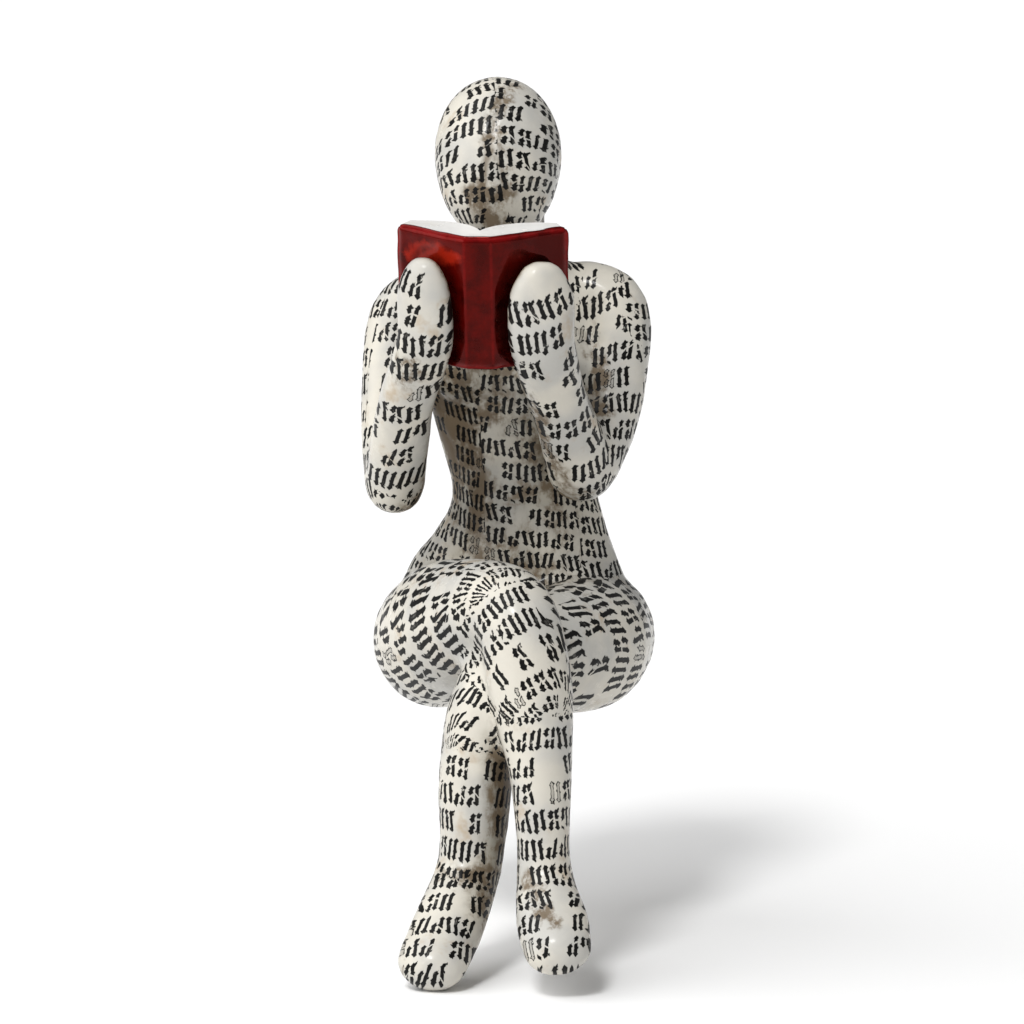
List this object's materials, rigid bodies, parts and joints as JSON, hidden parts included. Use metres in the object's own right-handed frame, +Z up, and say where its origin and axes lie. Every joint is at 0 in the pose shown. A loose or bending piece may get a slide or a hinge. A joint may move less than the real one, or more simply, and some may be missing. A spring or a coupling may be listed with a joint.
{
  "type": "seated reading figurine",
  "caption": "Shelf-sitting faceless resin figure with crossed legs, holding an open red book; ivory with rows of black print.",
  "frame": {"origin": "on the flat underside that the figure sits on, between the hips", "axes": "+Z up, -Y the way the figure faces, +X towards its left side"},
  "size_m": [0.0514, 0.0813, 0.1494],
  "materials": {
    "printed_resin": "ivory cast resin, satin, with rows of black marks and brown antiquing in the creases",
    "red_enamel": "deep glossy red on the covers, white pages"
  },
  "bodies": {
    "root": {"figure": "printed_resin", "book": "red_enamel"}
  },
  "joints": []
}
